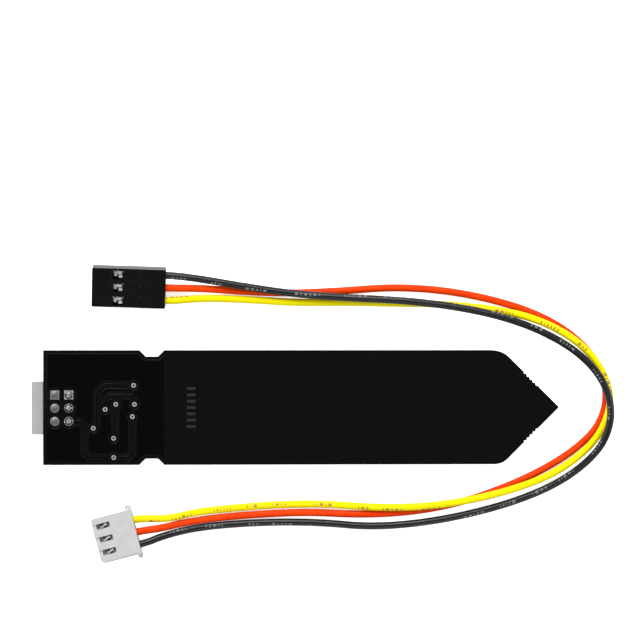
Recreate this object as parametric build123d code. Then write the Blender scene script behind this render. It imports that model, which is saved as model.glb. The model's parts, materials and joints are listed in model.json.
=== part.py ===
from build123d import *

import os
from math import atan, atan2, cos, degrees, hypot, pi, radians, sin, sqrt, tan

# A capacitive soil moisture probe lying solder side up, with its loose three-wire lead beside it.
# Millimetres. +X runs from the header to the point of the blade, +Z up. The origin is on the surface
# that the probe lies on, under the middle of the probe's own box.
#
# The probe is drawn in the board's frame and then laid down. There x starts at the blunt end, y is
# across the blade, z is 0 on the component face, which ends up underneath, and the solder face is at
# z = board_thickness. The plug and the socket housing are drawn with their mating face at x = 0 and
# their wires leaving along +X.

# ---- Circuit board
board_length = 98.0
board_width = 21.7
board_thickness = 1.6
point_half_angle = 45.0
left_shoulder_radius = 5.0
right_shoulder_radius = 3.6
notch_x = 20.55
notch_floor = 2.35
notch_depth = 1.2
bite_count = 5  # half holes where the blade was snapped off its panel
bite_pitch = 0.8
bite_radius = 0.28
bite_inset = -0.06
bite_middle = 5.4  # from the middle bite to the tip, along X

# ---- Copper and ink
copper = 0.035
plating = 0.03
track_width = 0.33
track_gap = 0.55
via_drill = 0.44
via_ring = via_drill + 0.46
pour_margin = 0.7
pour_end = 22.9
edge_run_y = 1.41 - board_width / 2  # the track along the -Y edge
edge_run_bend = 0.84
upper_run_y = board_width / 2 - 1.55  # the track along the +Y edge, on the component face
ink = 0.02

vias = [
    (17.08, 4.20),
    (13.73, 0.61),
    (17.25, 0.61),
    (11.70, -0.34),
    (16.85, -1.71),
    (9.46, -3.91),
    (13.30, -5.81),
    (13.33, edge_run_y),
]

# ---- Header on the board
ways = 3
pin_pitch = 2.5
pin_size = 0.64
pin_recess = 1.2
pin_bend = 0.7
pin_stub = 1.1
pin_drill = sqrt(2) * pin_size + 0.095
pad_size = pin_drill + 0.7
header_y = -0.1
header_pin_x = 4.84
spare_pin_x = header_pin_x - 2.64
header_width = (ways - 1) * pin_pitch + 5.0
header_height = 5.8
header_gap = copper + 0.045
header_mouth_x = header_pin_x - 7.04
header_rear_x = header_pin_x + 2.26
shroud_length = 6.1
header_side_wall = 0.7
header_flat_wall = 0.6
header_rear_wall = 1.2
keyway_width = 1.2
keyway_length = 3.4
keyway_spacing = (ways - 1) * pin_pitch - 0.2
side_slot_height = 1.0
solder_rise = 0.85
solder_neck = pin_size / sqrt(2) + 0.03
solder_waist = (0.72, 0.36)  # of the joint's radius and height, halfway down its hollow flank
dome_rise = 0.14
wetted = 0.47 * pad_size

# ---- Chips on the component face
timer_length, timer_width, timer_height = 4.9, 3.9, 1.45
timer_pitch = 1.27
timer_pins_a_side = 4
timer_span = 6.0
timer_at = (14.6, -0.4, 0)
regulator_length, regulator_width, regulator_height = 2.9, 1.3, 1.0
regulator_pitch = 0.95
regulator_span = 2.5
regulator_at = (10.0, 7.3, 0)
diode_length, diode_width, diode_height = 2.7, 1.6, 1.1
diode_span = 3.7
diode_at = (20.3, -3.6, 0)
lead_thickness = 0.15
lead_width = 0.42
lead_knee = 0.35  # of the way from the body to the foot's tip
lead_slope = 0.05
chip_standoff = 0.12
mould_draft = 0.06  # of the body's height
chip_length = 2.0
chip_width = 1.25
chip_end = 0.38
metal_wrap = 0.03
resistor_height = 0.5
capacitor_height = 0.85
land_margin = 0.18

resistors = [(14.0, 5.3, 0), (20.0, 2.0, 90), (9.4, 0.7, 90), (10.6, -7.3, 0)]
capacitors = [(14.2, 8.0, 0), (18.0, 7.2, 90), (20.3, 6.2, 90), (17.0, -6.6, 0), (9.4, 3.9, 90)]

# ---- Electrodes on the component face of the blade
electrode_start = 26.0
feed_length = 3.0
electrode_margin = 3.4
guard_margin = 0.8
guard_gap = 0.9
depth_line_x = 24.1
depth_line_width = 0.3

# ---- Plain bars in place of the lot number on the solder face
mark_x = 28.0
mark_count = 7
mark_pitch = 1.2
mark_length = 1.6
mark_width = 0.5

# ---- Wires
wire_diameter = 1.4
arc_share = 0.45  # of the shorter run beside a corner that its arc takes up
wire_lead_out = 1.0  # straight out of a bore before the first bend

# ---- Sheet-metal contacts
contact_wall = 0.2
barrel_diameter = wire_diameter + 0.1
barrel_length = 1.2

# ---- White plug, which goes into the header
plug_slack = 0.1
plug_width = header_width - 2 * (header_side_wall + plug_slack)
plug_thickness = header_height - 2 * (header_flat_wall + plug_slack)
plug_body_length = 7.05
flange_width = plug_width + 1.8
flange_height = plug_thickness
flange_thickness = 0.8
flange_round = 0.9
hook_reach = 0.2
hook_width = 0.45
plug_corner = 0.5
plug_contact_width = 1.8
plug_contact_height = 2.0
plug_bore_slack = 0.05
plug_bore_width = plug_contact_width + 2 * plug_bore_slack
plug_bore_height = plug_contact_height + 2 * plug_bore_slack
plug_pin_hole = pin_size + 0.36
plug_front_wall = 0.6
plug_contact_start = plug_front_wall + 0.2
plug_contact_length = 3.4
plug_wire_start = plug_contact_start + plug_contact_length + 1.15
plug_window_start = 0.75
plug_window_length = 2.6
plug_window_width = 1.05
plug_groove_depth = 0.15
lance_recess = 0.5
lance_root = 0.4
lance_flat = 0.4
lance_opening_width = 0.9
lance_outline = [
    (0, -0.4),
    (0, 0.4),
    (0.55, 0.05),
    (1.2, 0.38),
    (1.9, 0.38),
    (1.9, -0.02),
    (1.25, 0),
    (0.6, -0.3),
]

# ---- Black socket housing
socket_pitch = 2.54
socket_length = 14.0
socket_thickness = socket_pitch
socket_wall = 0.29
socket_edge = 0.15
socket_bore = socket_thickness - 2 * socket_wall
socket_bore_slack = 0.08
socket_contact_width = socket_bore - 2 * socket_bore_slack
socket_front_wall = 0.8
socket_pin_hole = 0.95
lead_in_depth = 0.34
lead_in_angle = 35.0
socket_contact_start = socket_front_wall + 0.4
socket_contact_end = socket_contact_start + 4.6
tongue_width = 1.5
tongue_length = 3.2
tongue_thickness = 0.45
tongue_hook = 0.3
tongue_gap = 0.05
tongue_round = 0.45
tongue_start = socket_contact_end + 2 * tongue_gap
tongue_end = tongue_start + tongue_length
socket_wire_start = tongue_end + 1.9
socket_window_start = socket_contact_start + 2.85
socket_window_width = tongue_width + 0.24
band_start = socket_window_start - 0.3
band_end = tongue_end + 0.15
band_depth = 0.08
socket_box_end = socket_window_start - 0.05
low_tab_start = socket_box_end + 0.25
low_tab_length = 0.45
low_tab_width = 0.9
low_tab_drop = 0.45
wing_length = 0.72
wing_width = 0.56
wing_gap = 0.14
wing_step = 0.14
arrow_x = band_start - 0.9
arrow_size = 1.1
arrow_rise = 0.12
cut_overlap = 0.01

# ---- How the pieces lie
plug_mouth = (-37.70, -25.60)
plug_leans = (-0.2, 0.2, 0.2)  # how far each wire leans in the plug's bore towards the way it bends
plug_turn = 15.0
plug_roll = -6.0
socket_middle = (-31.60, 22.88)
socket_turn = -1.86
socket_roll = 15.0

# Each wire runs from its contact in the socket housing, round past the point of the blade, to its
# contact in the plug. These are the points between the two bores. Their heights carry the upper wire
# over the lower one where two cross.
wire_routes = {
    "wire_black": [
        (-17.5, 24.3, 2.8),
        (-9.5, 22.9, 2.6),
        (0.0, 21.5, 2.4),
        (10.5, 20.75, 2.4),
        (20.5, 20.3, 2.45),
        (30.5, 19.15, 2.5),
        (40.0, 17.1, 2.75),
        (48.0, 14.0, 2.8),
        (54.4, 10.0, 3.3),
        (58.7, 5.0, 3.95),
        (60.3, -0.7, 3.95),
        (59.05, -6.2, 3.6),
        (55.5, -10.6, 2.4),
        (49.8, -14.7, 1.1),
        (42.0, -18.0, 0.75),
        (33.0, -20.5, 0.7),
        (23.5, -22.2, 0.7),
        (14.0, -22.85, 0.7),
        (5.0, -22.0, 0.7),
        (-4.5, -21.9, 0.7),
        (-13.5, -22.4, 0.75),
        (-20.0, -23.2, 1.2),
        (-25.3, -24.55, 2.4),
    ],
    "wire_red": [
        (-17.8, 22.6, 1.9),
        (-9.5, 21.95, 0.85),
        (-0.5, 21.65, 0.7),
        (9.0, 22.1, 0.7),
        (18.5, 22.85, 0.7),
        (28.0, 22.3, 0.7),
        (37.0, 20.65, 0.7),
        (45.5, 18.05, 0.7),
        (52.6, 14.1, 0.7),
        (57.75, 8.7, 0.7),
        (59.65, 2.4, 0.7),
        (58.0, -3.6, 0.7),
        (53.4, -8.1, 0.7),
        (47.0, -12.1, 0.7),
        (39.5, -15.5, 0.7),
        (31.0, -18.4, 0.7),
        (21.5, -20.1, 0.7),
        (12.0, -20.5, 0.7),
        (3.0, -20.0, 0.7),
        (-6.0, -20.35, 0.75),
        (-14.0, -21.0, 0.9),
        (-20.5, -21.85, 1.4),
        (-25.6, -23.05, 2.3),
    ],
    "wire_yellow": [
        (-17.7, 20.75, 1.4),
        (-9.5, 20.5, 0.9),
        (0.0, 19.85, 0.7),
        (9.5, 19.95, 0.7),
        (19.0, 19.75, 0.7),
        (28.0, 19.6, 0.7),
        (36.5, 18.8, 0.95),
        (44.5, 17.3, 2.2),
        (52.2, 13.8, 2.25),
        (57.8, 8.6, 2.25),
        (60.4, 1.9, 2.25),
        (58.75, -4.1, 2.15),
        (55.1, -8.6, 1.75),
        (49.0, -12.85, 1.75),
        (41.5, -15.7, 2.2),
        (32.5, -17.9, 2.25),
        (23.5, -19.05, 2.2),
        (14.5, -19.1, 1.6),
        (5.5, -18.4, 0.9),
        (-4.0, -18.6, 0.75),
        (-12.5, -19.3, 1.0),
        (-18.8, -19.97, 1.7),
        (-24.2, -21.3, 2.3),
    ],
}

nodes = {}

# =================================================================== Shared shapes


def box(x, y, z, low_x=0.0, y_at=0.0, low_z=0.0):
    """Box from low_x and low_z upwards, centred on y_at."""
    lowest = (Align.MIN, Align.CENTER, Align.MIN)
    return Pos(low_x, y_at, low_z) * Box(x, y, z, align=lowest)


def track(points, width):
    """Flat copper track with round ends and corners along a list of points."""
    flat = Sketch()
    for (x1, y1), (x2, y2) in zip(points, points[1:]):
        middle = Pos((x1 + x2) / 2, (y1 + y2) / 2)
        turn = degrees(atan2(y2 - y1, x2 - x1))
        flat += middle * Rot(0, 0, turn) * SlotCenterToCenter(hypot(x2 - x1, y2 - y1), width)
    return flat


def row(count, pitch):
    """Offsets of a centred row, from the +Y end down."""
    return [pitch * ((count - 1) / 2 - i) for i in range(count)]


def plated_hole(x, y, drill, pad):
    """Copper barrel through the board with a pad on each face."""
    barrel = extrude(Circle(drill / 2), board_thickness)
    barrel += Pos(0, 0, board_thickness) * extrude(pad, copper)
    barrel += extrude(pad, -copper)
    bore = extrude(Circle(drill / 2 - plating), board_thickness + 2 * copper)
    return Pos(x, y) * (barrel - Pos(0, 0, -copper) * bore)


def group(pieces):
    """Several separate solids as one shape."""
    return Compound([solid for piece in pieces for solid in piece.solids()])


# =================================================================== Board

pin_rows = [header_y + offset for offset in row(ways, pin_pitch)]
pads = [Rectangle(pad_size, pad_size)] + [Circle(pad_size / 2)] * (ways - 1)
half_width = board_width / 2
shoulder_x = board_length - half_width / tan(radians(point_half_angle))

blade = make_face(
    Polyline(
        (0, -half_width),
        (shoulder_x, -half_width),
        (board_length, 0),
        (shoulder_x, half_width),
        (0, half_width),
        close=True,
    )
)
shoulders = blade.vertices().sort_by(Axis.X)[2:4].sort_by(Axis.Y)
blade = fillet(shoulders[1], left_shoulder_radius)
lower_shoulder = blade.vertices().filter_by(lambda v: v.Y < -half_width / 2).sort_by(Axis.X)[-1]
blade = fillet(lower_shoulder, right_shoulder_radius)


def notch(depth_from_edge, spread):
    """Notch outline on the +Y edge, grown by an even margin for the copper behind it."""
    floor_half = notch_floor / 2 + spread
    floor_y = half_width - notch_depth - depth_from_edge
    top_half = floor_half + (half_width - floor_y)
    return make_face(
        Polyline(
            (notch_x - top_half, half_width),
            (notch_x - floor_half, floor_y),
            (notch_x + floor_half, floor_y),
            (notch_x + top_half, half_width),
            close=True,
        )
    )


side_notch = notch(0, 0)
bites = Sketch()
for side in (1, -1):
    for offset in row(bite_count, bite_pitch):
        along = bite_middle + offset * sin(radians(point_half_angle))
        bite_x = board_length - along - bite_inset
        bite_y = (along - bite_inset) * tan(radians(point_half_angle))
        bites += Pos(bite_x, side * bite_y) * Circle(bite_radius)

drills = Sketch() + [Pos(x, y) * Circle(via_drill / 2) for x, y in vias]
drills += [Pos(x, y) * Circle(pin_drill / 2) for x in (header_pin_x, spare_pin_x) for y in pin_rows]
board_face = blade - side_notch - mirror(side_notch, Plane.XZ) - bites - drills

nodes["circuit_board"] = extrude(board_face, board_thickness)
nodes["via_barrels"] = group([plated_hole(x, y, via_drill, Circle(via_ring / 2)) for x, y in vias])
nodes["header_hole_barrels"] = group(
    [plated_hole(header_pin_x, y, pin_drill, pad) for y, pad in zip(pin_rows, pads)]
)
nodes["spare_hole_barrels"] = group(
    [plated_hole(spare_pin_x, y, pin_drill, pad) for y, pad in zip(pin_rows, pads)]
)

# ------------------------------------------------------- Copper on the solder face

lead_pad = (header_pin_x, pin_rows[-1])
back_routes = [
    [vias[0], (11.60, 4.35), (10.10, 2.90), (10.10, -3.10), vias[5]],
    [vias[3], (11.70, 1.60), (12.50, 2.30), (16.60, 2.30), (17.25, 1.70), vias[2]],
    [vias[1], (13.60, -0.20), (13.60, -5.20), vias[6]],
    [
        lead_pad,
        (7.00, -2.60),
        (7.85, -3.40),
        (7.85, edge_run_y + edge_run_bend),
        (8.70, edge_run_y),
        vias[7],
    ],
    [vias[7], (15.90, edge_run_y), (16.85, edge_run_y + edge_run_bend), vias[4]],
]
ring_holes = Sketch() + [Pos(x, y) * Circle(via_ring / 2) for x, y in vias]
pad_holes = Sketch()
for pad_x in (header_pin_x, spare_pin_x):
    for pad_y, pad in zip(pin_rows, pads):
        pad_holes += Pos(pad_x, pad_y) * pad

pour = make_face(
    Polyline(
        (pour_margin, -half_width + pour_margin),
        (pour_end, -half_width + pour_margin),
        (pour_end, half_width - pour_margin),
        (pour_margin, half_width - pour_margin),
        close=True,
    )
)
notch_moat = notch(pour_margin, pour_margin * tan(radians(22.5)))
pour = pour - notch_moat - mirror(notch_moat, Plane.XZ)
for route in back_routes:
    pour -= track(route, track_width + 2 * track_gap)
for via_x, via_y in vias:
    pour -= Pos(via_x, via_y) * Circle(via_ring / 2 + track_gap)
for pad_x in (header_pin_x, spare_pin_x):
    for pad_y in pin_rows:
        pour -= Pos(pad_x, pad_y) * Circle(pad_size / 2 + track_gap)

# The middle pad of the spare row is earthed through four spokes.
spokes = Rectangle(pad_size + 4 * track_gap, track_width)
spokes += Rectangle(track_width, pad_size + 4 * track_gap)
pour += Pos(spare_pin_x, pin_rows[1]) * spokes - pad_holes
pour_faces = [face for face in pour.faces() if face.area > pad_size**2]

tracks = Sketch()
for route in back_routes:
    tracks += track(route, track_width)
tracks = tracks - ring_holes - pad_holes

solder_face = Pos(0, 0, board_thickness)
nodes["back_ground_copper"] = solder_face * group([extrude(face, copper) for face in pour_faces])
nodes["back_traces"] = solder_face * group([extrude(face, copper) for face in tracks.faces()])

bar = Rectangle(mark_length, mark_width)
marks = [Pos(mark_x, offset) * bar for offset in row(mark_count, mark_pitch)]
nodes["lot_mark"] = solder_face * group([extrude(mark, ink) for mark in marks])

# ------------------------------------------------------- Copper on the component face


def blade_inset(margin):
    """The blade's outline from electrode_start to the point, an even margin in from its edge."""
    half = half_width - margin
    tip = board_length - margin / sin(radians(point_half_angle))
    shoulder = tip - half / tan(radians(point_half_angle))
    return make_face(
        Polyline(
            (electrode_start, -half),
            (shoulder, -half),
            (tip, 0),
            (shoulder, half),
            (electrode_start, half),
            close=True,
        )
    )


sensing_face = blade_inset(electrode_margin)
guard_face = blade_inset(guard_margin) - blade_inset(electrode_margin - guard_gap)
feed_end = electrode_start - feed_length
sensing_feed = track([(feed_end, 0.0), (electrode_start + track_width, 0.0)], 2 * track_width)
nodes["sensing_electrode"] = extrude(sensing_face + sensing_feed, -copper)
nodes["guard_electrode"] = group([extrude(face, -copper) for face in guard_face.faces()])

line = Pos(depth_line_x, 0) * Rectangle(depth_line_width, board_width - 2 * guard_margin)
feed_strip = Pos(depth_line_x, 0) * Rectangle(2 * depth_line_width, 2 * track_width + 2 * track_gap)
nodes["depth_line"] = group([extrude(face, -ink) for face in (line - feed_strip).faces()])

# =================================================================== Header and its pins

shroud_inner_width = header_width - 2 * header_side_wall
shroud_inner_height = header_height - 2 * header_flat_wall
header_low = -header_gap - header_height
shroud_end = header_mouth_x + shroud_length
cavity_length = shroud_length - header_rear_wall
pin_z = header_low + header_height / 2

shroud = box(shroud_length, header_width, header_height, header_mouth_x, header_y, header_low)
shroud -= box(
    cavity_length,
    shroud_inner_width,
    shroud_inner_height,
    header_mouth_x,
    header_y,
    header_low + header_flat_wall,
)
for offset in row(2, keyway_spacing):
    shroud -= box(
        keyway_length,
        keyway_width,
        2 * header_flat_wall,
        header_mouth_x,
        header_y + offset,
        header_low - header_flat_wall,
    )
shroud -= box(
    keyway_length,
    header_width + 2 * header_side_wall,
    side_slot_height,
    header_mouth_x,
    header_y,
    pin_z - side_slot_height / 2,
)
cheek_length = header_rear_x - shroud_end
for offset in row(2, header_width - header_side_wall):
    shroud += box(cheek_length, header_side_wall, header_height, shroud_end, header_y + offset, header_low)
for pin_y in pin_rows:
    shroud -= Pos(shroud_end, pin_y, pin_z) * Box(3 * header_rear_wall, pin_size, pin_size)
nodes["header_housing"] = shroud

pin_top = board_thickness + pin_stub
for number, pin_y in enumerate(pin_rows, start=1):
    path = FilletPolyline(
        (header_mouth_x + pin_recess, pin_y, pin_z),
        (header_pin_x, pin_y, pin_z),
        (header_pin_x, pin_y, pin_top),
        radius=pin_bend,
    )
    start = Plane(origin=path @ 0, z_dir=path % 0, x_dir=(0, 1, 0))
    pin = sweep(start * Rectangle(pin_size, pin_size), path=path)
    tips = pin.faces().sort_by(Axis.X)[0].edges() + pin.faces().sort_by(Axis.Z)[-1].edges()
    nodes[f"header_pin_{number}"] = chamfer(tips, pin_size / 4)

# ------------------------------------------------------- Solder

bore_radius = pin_drill / 2 - plating
bore_fill = Pos(0, 0, -copper) * extrude(Circle(bore_radius), board_thickness + 2 * copper)
pad_top = board_thickness + copper


def solder_cone(radius):
    """Joint that climbs from the pad up the pin with a hollow flank."""
    waist = (solder_waist[0] * radius, solder_waist[1] * solder_rise)
    outline = Polyline((radius, 0), (0, 0), (0, solder_rise), (solder_neck, solder_rise))
    flank = ThreePointArc((solder_neck, solder_rise), waist, (radius, 0))
    face = make_face(Plane.XZ * (outline + flank))
    return Pos(0, 0, pad_top) * revolve(face, Axis.Z)


def solder_dome(radius):
    """Low dome that a filled hole is left with."""
    ball = (radius**2 + dome_rise**2) / (2 * dome_rise)
    dome = Pos(0, 0, dome_rise - ball) * Sphere(ball)
    return Pos(0, 0, pad_top) * (dome & box(2 * ball, 2 * ball, ball, low_x=-ball))


pin_hole = Box(pin_size, pin_size, 3 * pin_top)
nodes["header_solder_joints"] = group(
    [Pos(header_pin_x, y) * (bore_fill + solder_cone(wetted) - pin_hole) for y in pin_rows]
)
nodes["spare_hole_solder"] = group(
    [Pos(spare_pin_x, y) * (bore_fill + solder_dome(wetted)) for y in pin_rows]
)

# =================================================================== Chips on the component face

lands = []


def on_component_face(at):
    """Location that turns a chip over and sets it on its lands."""
    x, y, turn = at
    return Pos(x, y, -copper) * Rot(0, 0, turn) * Rot(180, 0, 0)


def land(at, x, y, length, width):
    """One tinned land under a chip's foot, in the chip's own frame."""
    place_x, place_y, turn = at
    return Pos(place_x, place_y) * Rot(0, 0, turn) * Pos(x, -y) * Rectangle(length, width)


def moulded(length, width, height):
    """Epoxy body with drafted upper half."""
    lower = box(length, width, height / 2, low_x=-length / 2, low_z=chip_standoff)
    top_face = Pos(0, 0, chip_standoff + height / 2) * Rectangle(length, width)
    upper = extrude(top_face, height / 2, taper=degrees(atan(2 * mould_draft)))
    return lower + upper


def gull_lead(x, side, half_body, span, height):
    """Bent foot from the side of an epoxy body down to the board."""
    seat = lead_thickness / 2
    knee = half_body + lead_knee * (span / 2 - half_body)
    path = FilletPolyline(
        (x, side * half_body, height),
        (x, side * knee, height),
        (x, side * (knee + lead_slope), seat),
        (x, side * span / 2, seat),
        radius=lead_thickness,
    )
    start = Plane(origin=path @ 0, z_dir=path % 0, x_dir=(1, 0, 0))
    return sweep(start * Rectangle(lead_width, lead_thickness), path=path)


def package(name, at, size, span, feet):
    """Epoxy package: its body, its bent leads and their lands."""
    length, width, height = size
    place = on_component_face(at)
    leads = [gull_lead(x, side, width / 2, span, chip_standoff + height / 2) for x, side in feet]
    nodes[f"{name}_body"] = place * moulded(length, width, height)
    nodes[f"{name}_leads"] = place * group(leads)
    foot = (span - width) / 2
    middle = span / 2 + land_margin - foot / 2
    for x, side in feet:
        lands.append(land(at, x, side * middle, lead_width + land_margin, foot))


timer_feet = [(x, side) for side in (1, -1) for x in row(timer_pins_a_side, timer_pitch)]
package("timer_ic", timer_at, (timer_length, timer_width, timer_height), timer_span, timer_feet)
regulator_feet = [(regulator_pitch, 1), (-regulator_pitch, 1), (0, -1)]
regulator_size = (regulator_length, regulator_width, regulator_height)
package("regulator", regulator_at, regulator_size, regulator_span, regulator_feet)
diode_size = (diode_width, diode_length, diode_height)
package("diode", diode_at, diode_size, diode_span, [(0, 1), (0, -1)])


def chip_body(height):
    """Ceramic block of a resistor or capacitor, between its metal ends."""
    length = chip_length - 2 * chip_end
    width = chip_width - 2 * metal_wrap
    return box(length, width, height - 2 * metal_wrap, low_x=-length / 2, low_z=metal_wrap)


def chip_ends(height):
    """The two metal ends of a resistor or capacitor."""
    left = box(chip_end, chip_width, height, low_x=-chip_length / 2)
    return [left, mirror(left, Plane.YZ)]


for kind, places, height in (
    ("resistor", resistors, resistor_height),
    ("capacitor", capacitors, capacitor_height),
):
    ends = []
    for number, at in enumerate(places, start=1):
        place = on_component_face(at)
        nodes[f"{kind}_{number}"] = place * chip_body(height)
        ends += [place * end for end in chip_ends(height)]
        for side in (1, -1):
            middle = side * (chip_length - chip_end) / 2
            lands.append(land(at, middle, 0, chip_end + 2 * land_margin, chip_width + land_margin))
    nodes[f"{kind}_ends"] = group(ends)

land_faces = Sketch() + lands
nodes["component_lands"] = group([extrude(face, -copper) for face in land_faces.faces()])

front_routes = [
    [vias[0], (16.50, 3.60), (16.50, 2.35)],
    [vias[0], (15.90, 5.30), (14.80, 5.30)],
    [(13.20, 5.30), (12.70, 4.60), (12.70, 2.35)],
    [vias[1], (13.97, 1.20), (13.97, 2.35)],
    [vias[2], (19.20, 0.61), (20.00, 1.20)],
    [(20.00, 2.80), (20.30, 3.60), (20.30, 5.40)],
    [(20.30, 7.00), (18.00, 8.00)],
    [(15.00, 8.00), (18.00, 8.00)],
    [(18.00, 6.40), (17.00, 5.60), vias[0]],
    [vias[3], (10.30, -0.34), (9.40, -0.10)],
    [(9.40, 1.50), (9.40, 3.10)],
    [(9.40, 4.70), (9.05, 6.20)],
    [(10.00, 8.45), (11.20, upper_run_y), (12.40, upper_run_y), (13.40, 8.00)],
    [vias[4], (16.50, -3.10)],
    [vias[5], (8.40, -5.20), (8.40, -6.60), (9.80, -7.30)],
    [vias[6], (12.20, -6.60), (11.40, -7.30)],
    [(15.24, -3.10), (15.24, -4.90), (16.20, -6.60)],
    [(17.80, -6.60), (20.30, -6.60), (20.30, -5.30)],
    [(20.30, -1.90), (21.60, -0.60), (feed_end, 0.0)],
]
front_tracks = Sketch()
for route in front_routes:
    front_tracks += track(route, track_width)
front_tracks = front_tracks - land_faces - ring_holes - pad_holes - sensing_feed
nodes["front_traces"] = group([extrude(face, -copper) for face in front_tracks.faces()])

# =================================================================== Laying the probe down

# It lies solder side up on the lower rear edge of its header and on its point.
lean = degrees(atan(-header_low / (board_length - header_rear_x)))
slope_sin = sin(radians(lean))
slope_cos = cos(radians(lean))
lowest_x = header_mouth_x * slope_cos + header_low * slope_sin
highest_x = board_length * slope_cos + board_thickness * slope_sin
laid = Pos(-(lowest_x + highest_x) / 2, 0, board_length * slope_sin) * Rot(0, lean, 0)
sensor_nodes = {name: laid * shape for name, shape in nodes.items()}

# =================================================================== White plug

lead_nodes = {}
plug_rows = row(ways, pin_pitch)
plug_length = plug_body_length + flange_thickness

flange_face = Plane.YZ * RectangleRounded(flange_width, flange_height, flange_round)
end_round = flange_thickness / 2
flange_plan = Pos(end_round, end_round / 2) * Rectangle(flange_thickness, flange_width - end_round)
flange_plan += Pos(end_round, end_round - flange_width / 2) * Circle(end_round)
flange = extrude(flange_face, flange_thickness) & extrude(flange_plan, flange_height / 2, both=True)
hook_y = (flange_width - hook_width) / 2
hook_height = flange_height - 2 * flange_round
flange += box(hook_reach + end_round, hook_width, hook_height, -hook_reach, hook_y, -hook_height / 2)
plug = box(plug_body_length, plug_width, plug_thickness, low_z=-plug_thickness / 2)
plug = fillet(plug.edges().filter_by(Axis.Z).group_by(Axis.X)[0], plug_corner)
plug += Pos(plug_body_length, 0, 0) * flange
window_rise = plug_thickness / 2
for way_y in plug_rows:
    plug -= box(
        plug_length, plug_bore_width, plug_bore_height, plug_front_wall, way_y, -plug_bore_height / 2
    )
    plug -= Pos(0, way_y, 0) * Box(4 * plug_front_wall, plug_pin_hole, plug_pin_hole)
    plug -= box(plug_window_length, plug_window_width, window_rise, plug_window_start, way_y)
    plug -= box(
        2 * plug_window_start,
        plug_window_width,
        plug_groove_depth,
        -plug_window_start,
        way_y,
        window_rise - plug_groove_depth,
    )


def box_contact(width, height, start, end, seat):
    """Open sheet-metal box that grips a header pin, lying on the bore's floor at z = seat."""
    length = end - start
    shell = box(length, width, height, start, low_z=seat)
    inner_width = width - 2 * contact_wall
    inner_height = height - 2 * contact_wall
    inner = box(3 * length, inner_width, inner_height, start - length, low_z=seat + contact_wall)
    return shell - inner


def neck_and_barrel(width, start, end, seat):
    """Low trough behind the box, and the round crimp barrel that the wire meets."""
    neck = box(end - start, width / 2, -seat / 2, start, low_z=seat)
    ring = Plane.YZ * Circle(barrel_diameter / 2)
    return neck + Pos(end - barrel_length, 0, 0) * extrude(ring, barrel_length)


def plug_contact():
    """Contact of the white plug, with the sprung lance that stands up in its window."""
    seat = -plug_bore_height / 2
    end = plug_contact_start + plug_contact_length
    top = seat + plug_contact_height
    contact = box_contact(plug_contact_width, plug_contact_height, plug_contact_start, end, seat)
    contact += neck_and_barrel(plug_contact_width, end, plug_wire_start, seat)
    lance_start = plug_contact_start + lance_root
    lance_length = lance_outline[3][0] - lance_outline[0][0] + lance_flat
    lance_end = lance_start + lance_length
    lance_top = plug_thickness / 2 - lance_recess
    contact -= box(
        lance_length, lance_opening_width, 2 * contact_wall, lance_start, 0, top - 1.5 * contact_wall
    )
    slope = make_face(
        Plane.XZ
        * Polyline(
            (lance_start - contact_wall, top - contact_wall),
            (lance_start - contact_wall, top),
            (lance_end - lance_flat, lance_top),
            (lance_end, lance_top),
            (lance_end, lance_top - contact_wall),
            (lance_end - lance_flat, lance_top - contact_wall),
            close=True,
        )
    )
    outline = make_face(Polyline(*[(lance_start + x, y) for x, y in lance_outline], close=True))
    root = Pos(lance_start, 0) * Rectangle(2 * contact_wall, 2 * lance_outline[1][1])
    lance = extrude(slope, plug_bore_width / 2, both=True) & extrude(outline + root, plug_thickness)
    return contact + lance


# It lies along its lower edge, and its wires keep it tipped.
plug_turned = Rot(0, 0, plug_turn) * Rot(plug_roll, 0, 0)
plug_lift = -(plug_turned * plug).bounding_box().min.Z
plug_place = Pos(plug_mouth[0], plug_mouth[1], plug_lift) * plug_turned

lead_nodes["plug_housing"] = plug_place * plug
for number, way_y in enumerate(plug_rows, start=1):
    lead_nodes[f"plug_contact_{number}"] = plug_place * Pos(0, way_y, 0) * plug_contact()

# =================================================================== Black socket housing

socket_rows = row(ways, socket_pitch)
socket_width = ways * socket_pitch
socket_top = socket_thickness / 2
band_top = socket_top - band_depth

socket = box(socket_length, socket_width, socket_thickness, low_z=-socket_top)
socket = chamfer(socket.edges().filter_by(Axis.Z), socket_edge)
socket -= box(band_end - band_start, 2 * socket_width, socket_thickness, band_start, 0, band_top)
lead_in = Plane.YZ * Rectangle(socket_pin_hole, socket_pin_hole)
for way_y in socket_rows:
    socket -= box(socket_length, socket_bore, socket_bore, socket_front_wall, way_y, -socket_bore / 2)
    socket -= Pos(0, way_y, 0) * Box(4 * socket_front_wall, socket_pin_hole, socket_pin_hole)
    flare = extrude(Pos(0, way_y, 0) * lead_in, -lead_in_depth - cut_overlap, taper=-lead_in_angle)
    socket -= Pos(lead_in_depth, 0, 0) * flare
    socket -= box(
        tongue_end + tongue_gap - socket_window_start,
        socket_window_width,
        socket_thickness,
        socket_window_start,
        way_y,
    )
arrow = Pos(arrow_x, socket_rows[-1], socket_top) * Triangle(a=arrow_size, b=arrow_size, c=arrow_size)
socket += extrude(arrow, arrow_rise)


def socket_contact():
    """Contact of the socket housing, with the folded tab and wings that show through its window."""
    seat = -socket_bore / 2
    width = socket_contact_width
    contact = box_contact(width, width, socket_contact_start, socket_box_end, seat)
    contact += neck_and_barrel(width, socket_box_end, socket_wire_start, seat)
    contact += box(low_tab_length, low_tab_width, width - low_tab_drop, low_tab_start, 0, seat)
    for side in (1, -1):
        wing_end = socket_contact_end - (wing_step if side > 0 else 0)
        wing_y = side * (wing_gap + wing_width) / 2
        contact += box(wing_length, wing_width, width, wing_end - wing_length, wing_y, seat)
    return contact


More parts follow.
